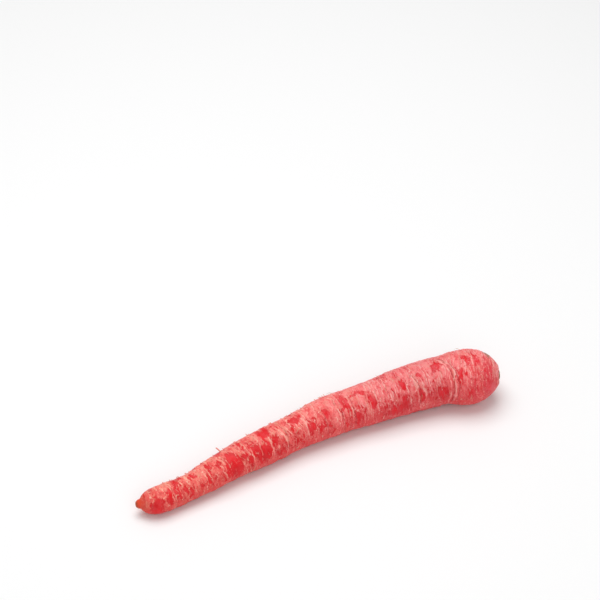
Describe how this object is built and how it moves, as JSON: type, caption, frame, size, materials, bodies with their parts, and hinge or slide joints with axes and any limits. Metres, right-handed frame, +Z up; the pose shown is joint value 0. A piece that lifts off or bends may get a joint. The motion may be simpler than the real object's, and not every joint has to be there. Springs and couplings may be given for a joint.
{
  "type": "carrot",
  "caption": "Long slim red carrot root, gently bowed, with a swollen crown, ring creases and a small broken tip, lying on its side.",
  "frame": {"origin": "on the surface under the middle of the box of the lying root", "axes": "+X from the tip to the crown, +Z up from the surface the root lies on, the root bows towards +Y"},
  "size_m": [0.247, 0.04, 0.0343],
  "materials": {
    "red_carrot_skin": "moist scraped skin, glossy crimson flesh showing between paler salmon-pink patches"
  },
  "bodies": {
    "root": {"carrot_root": "red_carrot_skin"}
  },
  "joints": []
}
